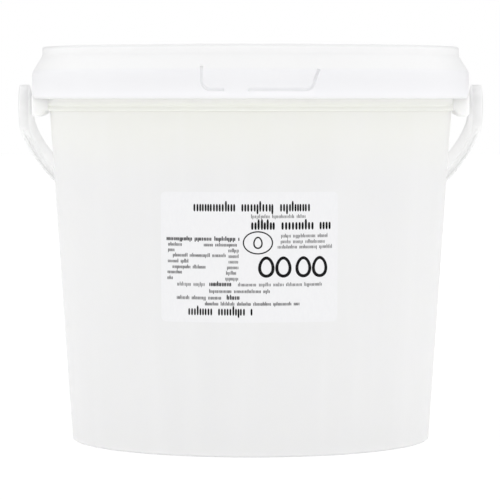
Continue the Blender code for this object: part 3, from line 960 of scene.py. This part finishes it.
def bail_line():
    """Places along the bail's middle line in its own plane: across, drop, way outward and angle."""
    power = 2 / BAIL_ROUNDNESS
    places = [(-BAIL_REACH, drop, -1.0, 0.0, 0.0) for drop in (0.0, BAIL_STRAIGHT / 2)]
    for i in range(BAIL_STEPS + 1):
        turn = math.pi * i / BAIL_STEPS
        side = 1 if turn < math.pi / 2 else -1
        across, along = abs(math.cos(turn)), max(0.0, math.sin(turn))
        slope = (-side * BAIL_SAG * across ** (2 - power), BAIL_REACH * along ** (2 - power))
        out = Vector(slope).normalized()
        places.append((-side * BAIL_REACH * across ** power, BAIL_STRAIGHT + BAIL_SAG * along ** power,
                       out.x, out.y, math.degrees(turn)))
    places += [(BAIL_REACH, drop, 1.0, 0.0, 180.0) for drop in (BAIL_STRAIGHT / 2, 0.0)]
    return places


def bail_half_width(drop):
    """Half the strap's width at a drop from the pivots: the eye's own, tapering to that of the strap."""
    taper = math.radians(EYE_TAPER_ANGLE)
    spare = EYE_RADIUS / math.cos(taper) - drop * math.tan(taper) - BAIL_HALF_WIDTH
    eased = (spare + math.sqrt(spare * spare + EYE_TAPER_END * EYE_TAPER_END)) / 2
    return min(EYE_RADIUS - EDGE, BAIL_HALF_WIDTH + eased)


def bail_section(half_depth, half_width, web, corner):
    """The bail's rounded I-shaped section as (outward, across) points."""
    rail = half_depth - BAIL_RAIL
    root = rail - EDGE / 2
    lip = min(corner, EDGE / 2)
    upper = [
        (half_depth, half_width, corner),
        (rail, half_width, lip),
        (root, web, EDGE),
        (-root, web, EDGE),
        (-rail, half_width, lip),
        (-half_depth, half_width, corner),
    ]
    lower = [(-out, -over, reach) for out, over, reach in upper]
    return rounded(upper + lower, steps=4, closed=True)


def strap_mesh():
    """The swept strap of the bail, hanging straight down from its pivots."""
    build = bmesh.new()
    rings = []
    for x, drop, out_x, out_drop, angle in bail_line():
        off_middle = abs(angle - 90.0)
        full = min(1.0, max(0.0, (GRIP_HALF_ANGLE + GRIP_BLEND_ANGLE - off_middle) / GRIP_BLEND_ANGLE))
        full = full * full * (3 - 2 * full)
        half_depth = BAIL_HALF_DEPTH + full * (GRIP_HALF_DEPTH - BAIL_HALF_DEPTH)
        half_width = bail_half_width(drop) + full * (GRIP_HALF_WIDTH - BAIL_HALF_WIDTH)
        web = half_width - (1 - full) * BAIL_RECESS
        corner = BAIL_CORNER + full * (GRIP_CORNER - BAIL_CORNER)
        section = bail_section(half_depth, half_width, web, corner)
        rings.append([build.verts.new((x + out * out_x, over, -drop - out * out_drop))
                      for out, over in section])
    bridge(build, rings)
    build.faces.new(rings[0])
    build.faces.new(list(reversed(rings[-1])))
    return mesh_of(build, "bail_strap")


def bail_end_profile():
    """One end of the bail along its pivot: the pin, the round eye, its sunk face and its boss."""
    face = BAIL_OUTER - EYE_FACE_DEPTH
    boss = BAIL_OUTER - EYE_BOSS_DEPTH
    dimple = BAIL_OUTER - EYE_DIMPLE_DEPTH
    return rounded([
        (0.0, BORE_END + GAP, 0.0),
        (PIN_RADIUS, BORE_END + GAP, EDGE),
        (PIN_RADIUS, EYE_INNER, EDGE / 2),
        (HUB_RADIUS, EYE_INNER, EDGE),
        (EYE_RADIUS, EYE_INNER + EYE_RELIEF, EDGE),
        (EYE_RADIUS, BAIL_OUTER, 1.3 * EDGE),
        (EYE_FACE_RADIUS, BAIL_OUTER, EDGE / 2),
        (EYE_FACE_RADIUS - STEP_SLOPE, face, EDGE / 2),
        (EYE_BOSS_RADIUS + STEP_SLOPE, face, EDGE / 2),
        (EYE_BOSS_RADIUS, boss, EDGE / 2),
        (EYE_DIMPLE_RADIUS, boss, EDGE / 2),
        (EYE_DIMPLE_RADIUS - STEP_SLOPE, dimple, EDGE / 2),
        (0.0, dimple, 0.0),
    ], steps=5)


def make_bail(tree, surface):
    """The bail: its strap, leant back about the pivots, with an eye and a pin at each end."""
    bail = new_piece("bail_strap", strap_mesh())
    lean = Matrix.Translation((0.0, 0.0, PIVOT_HEIGHT)) @ Matrix.Rotation(math.radians(BAIL_TILT), 4, "X")
    bail.data.transform(lean)
    bail.data.materials.append(surface)
    point_outward(bail)
    for side in (-1, 1):
        end = pivot_piece("bail_end", bail_end_profile(), tree, surface, EYE_STEPS, side)
        join_by_boolean(bail, end, "UNION")
    smooth(bail, sharp_angle=34)
    return bail


def make_grip_ribs(tree, surface):
    """Low ribs round the bail's grip."""
    ribbed = GRIP_HALF_ANGLE - RIB_END_ANGLE
    middle = [(x, -drop, 0.0) for x, drop, _, _, angle in bail_line() if abs(angle - 90.0) < ribbed]
    ribs = new_piece("bail_grip_ribs", line_mesh("bail_grip_ribs", middle))
    grown(ribs, tree, ribs=RIB_COUNT, rib_width=2 * GRIP_HALF_WIDTH, rib_depth=2 * GRIP_HALF_DEPTH,
          corner=GRIP_CORNER * RIB_CORNER_SHARE, bead_radius=RIB_BEAD_RADIUS, bead_sides=RIB_BEAD_SIDES,
          tip=(math.radians(90.0 + BAIL_TILT), 0.0, 0.0), place=(0.0, 0.0, PIVOT_HEIGHT), surface=surface)
    point_outward(ribs)
    smooth(ribs, sharp_angle=60)
    return ribs


# The label and its print


def label_flat():
    """The label's flat sheet with rounded corners, cut into columns so that it can bend."""
    build = bmesh.new()
    corners = [build.verts.new((across * LABEL_WIDTH / 2, up * LABEL_HEIGHT / 2, 0.0))
               for across, up in ((-1, -1), (1, -1), (1, 1), (-1, 1))]
    build.faces.new(corners)
    bmesh.ops.bevel(build, geom=corners, offset=LABEL_CORNER, segments=8, profile=0.5, affect="VERTICES")
    for i in range(1, LABEL_COLUMNS):
        cut = LABEL_WIDTH * (i / LABEL_COLUMNS - 0.5)
        bmesh.ops.bisect_plane(build, geom=build.verts[:] + build.edges[:] + build.faces[:],
                               plane_co=(cut, 0.0, 0.0), plane_no=(1.0, 0.0, 0.0))
    thicken(build, (0.0, 0.0, LABEL_PROUD + LABEL_SUNK))
    return mesh_of(build, "label_sheet")


def wrap_values(lift, surface):
    """The wall's sizes, as the wrap takes them."""
    return {"foot_radius": BASE_RADIUS, "taper": WALL_TAPER, "middle_height": LABEL_MIDDLE,
            "turn": math.radians(LABEL_TURN), "lift": lift, "surface": surface}


def make_label(tree, surface):
    """The label's paper on the wall, which lets light reach the milky plastic under it."""
    label = grown(new_piece("label_sheet", label_flat()), tree, **wrap_values(-LABEL_SUNK, surface))
    point_outward(label)
    smooth(label, sharp_angle=40)
    label.visible_shadow = False
    label.visible_diffuse = False
    return label


def stroke_piece():
    """One printed stroke: a flat plate with cut corners, a unit across and high, standing on its foot."""
    cut = STROKE_CUT
    outline = [(-0.5, cut), (-0.5 + cut, 0.0), (0.5 - cut, 0.0), (0.5, cut),
               (0.5, 1.0 - cut), (0.5 - cut, 1.0), (-0.5 + cut, 1.0), (-0.5, 1.0 - cut)]
    build = bmesh.new()
    build.faces.new([build.verts.new((x, y, -1.0)) for x, y in outline])
    thicken(build, (0.0, 0.0, 2.0))
    return new_piece("print_stroke", mesh_of(build, "print_stroke"))


def print_strokes():
    """Place and size of each stroke: rows of upright strokes in groups of uneven length."""
    draw = random.Random(PRINT_SEED)
    strokes = []
    for left, right, foot, tall, wide, pitch in PRINT_ROWS:
        across = left + wide / 2
        in_group = draw.randint(*FIRST_GROUP)
        while across <= right - wide / 2:
            chance = draw.random()
            lift, reach = 0.0, tall
            if chance < RISING_UP_TO:
                reach = tall * (1 + STROKE_RISE)
            elif chance < HANGING_UP_TO:
                lift, reach = -tall * STROKE_HANG, tall * (1 + STROKE_HANG)
            strokes.append((across, foot + lift, wide, reach))
            across += pitch * draw.uniform(PITCH_FROM, PITCH_TO)
            in_group -= 1
            if in_group == 0:
                across += tall * GROUP_GAP
                in_group = draw.randint(*LATER_GROUP)
    return strokes


def ring_outline(build, across, up, half_width, half_height, line, narrowing=0.0):
    """A flat ring in the layout's plane, oval or narrower at its top as an egg is."""
    rings = []
    for inset, level in ((0.0, -PRINT_PROUD), (0.0, PRINT_PROUD), (line, PRINT_PROUD), (line, -PRINT_PROUD)):
        ring = []
        for i in range(OUTLINE_STEPS):
            turn = 2 * math.pi * i / OUTLINE_STEPS
            narrow = 1.0 - narrowing * math.sin(turn)
            x = across + (half_width - inset) * math.cos(turn) * narrow
            y = up + (half_height - inset) * math.sin(turn)
            ring.append(build.verts.new((x * MILLIMETRE, y * MILLIMETRE, level)))
        rings.append(ring)
    bridge(build, rings + rings[:1])


def make_print(tree, surface):
    """The label's print: rows of strokes, a row of egg outlines, and one more in an oval ring."""
    build = bmesh.new()
    ring_outline(build, *PRINT_OVAL)
    for egg in PRINT_EGGS:
        ring_outline(build, *egg, narrowing=EGG_NARROWING)
    outlined = len(build.verts)
    strokes = print_strokes()
    for x, y, _, _ in strokes:
        build.verts.new((x * MILLIMETRE, y * MILLIMETRE, 0.0))
    mesh = mesh_of(build, "label_print")
    sizes = mesh.attributes.new("stroke_size", "FLOAT_VECTOR", "POINT")
    marks = mesh.attributes.new("is_stroke", "BOOLEAN", "POINT")
    for i, (_, _, wide, tall) in enumerate(strokes, outlined):
        sizes.data[i].vector = (wide * MILLIMETRE, tall * MILLIMETRE, PRINT_PROUD)
        marks.data[i].value = True
    stroke = stroke_piece()
    printed = grown(new_piece("label_print", mesh), tree, stroke=stroke, **wrap_values(LABEL_PROUD, surface))
    discard(stroke)
    point_outward(printed, close_seams=False)
    return printed


# The studio


def level_plane(name, height, surface):
    """A wide level plane."""
    build = bmesh.new()
    bmesh.ops.create_grid(build, x_segments=1, y_segments=1, size=PLANE_SIZE)
    bmesh.ops.translate(build, verts=build.verts, vec=(0.0, 0.0, height))
    plane = new_piece(name, mesh_of(build, name))
    plane.data.materials.append(surface)
    return plane


def make_floor():
    """The floor that only the camera sees, and a little under it a card that the camera doesn't see.

    The floor is as pale as the background by its own light. The card lights the pail from below.
    """
    floor = level_plane("studio_floor", 0.0, glowing_card("studio_floor", FLOOR_SHADE, FLOOR_GLOW))
    for way in ("visible_diffuse", "visible_glossy", "visible_transmission", "visible_shadow"):
        setattr(floor, way, False)
    card = glowing_card("studio_bounce", BOUNCE_SHADE, BOUNCE_GLOW)
    bounce = level_plane("studio_bounce", BOUNCE_HEIGHT, card)
    bounce.visible_camera = False


def make_world():
    """Soft white light from all round, and a plain white background for the camera.

    The light is brightest right from the front, brighter from the sides than between them and the
    front, dim from right behind the pail, and a little brighter from above.
    """
    world = bpy.data.worlds.new("studio_light")
    bpy.context.scene.world = world
    world.use_nodes = True
    tree = world.node_tree
    tree.nodes.clear()
    way = add_node(tree, "ShaderNodeSeparateXYZ",
                   {"Vector": add_node(tree, "ShaderNodeTexCoord").outputs["Generated"]}).outputs
    behind = add_node(tree, "ShaderNodeMapRange", {"Value": way["Y"], "From Min": -1.0, "From Max": 1.0})
    ramp = add_node(tree, "ShaderNodeValToRGB", {"Fac": behind.outputs[0]})
    elements = ramp.color_ramp.elements
    while len(elements) < len(LIGHT_LEVELS):
        elements.new(0.5)
    for element, (place, level) in zip(elements, LIGHT_LEVELS):
        element.position = place
        element.color = (level, level, level, 1.0)
    ramp.color_ramp.interpolation = "EASE"
    above = add_node(tree, "ShaderNodeMapRange",
                     {"Value": way["Z"], "From Min": 0.0, "From Max": 1.0, "To Min": 1.0,
                      "To Max": LIGHT_OVERHEAD})
    light = math_node(tree, "MULTIPLY", ramp.outputs[0], above.outputs[0])
    lit = add_node(tree, "ShaderNodeBackground", {"Color": light, "Strength": 1.0})
    seen = add_node(tree, "ShaderNodeBackground", {"Color": (1.0, 1.0, 1.0, 1.0), "Strength": 1.0})
    straight = add_node(tree, "ShaderNodeLightPath").outputs["Is Camera Ray"]
    mix = add_node(tree, "ShaderNodeMixShader", {0: straight, 1: lit.outputs[0], 2: seen.outputs[0]})
    add_node(tree, "ShaderNodeOutputWorld", {"Surface": mix.outputs[0]})


def make_camera():
    """The camera at the photograph's distance, height and pitch, with its long lens."""
    view = bpy.data.cameras.new("camera")
    view.sensor_width = CAMERA_SENSOR
    view.lens = CAMERA_LENS
    camera = new_piece("camera", view)
    camera.location = CAMERA_PLACE
    camera.rotation_euler = (math.radians(90.0 - CAMERA_PITCH), 0.0, 0.0)
    bpy.context.scene.camera = camera


def main():
    """Makes the pail's pieces, attaches them to their bodies, hides the imported parts, and sets up the
    studio round them.
    """
    turning = turned_form_tree()
    wrap = wall_wrap_tree()
    tub = make_tub(turning, milky_polypropylene())
    lid = make_lid(turning, lid_polypropylene())
    bail = make_bail(turning, bail_polypropylene())
    ribs = make_grip_ribs(grip_ribs_tree(), grip_polypropylene())
    label = make_label(label_sheet_tree(wrap), label_paper())
    printed = make_print(label_print_tree(wrap), print_ink())
    for piece, body, slot in ((tub, "tub", "pail_plastic"), (lid, "tub", "lid_plastic"),
                              (label, "tub", "label_paper"), (printed, "tub", "label_paper"),
                              (bail, "bail", "handle_plastic"), (ribs, "bail", "handle_plastic")):
        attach(piece, body)
    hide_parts("pail")
    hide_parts("lid")
    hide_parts("handle")
    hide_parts("label")
    make_floor()
    make_world()
    make_camera()
    bpy.context.scene.view_settings.view_transform = "Standard"


main()
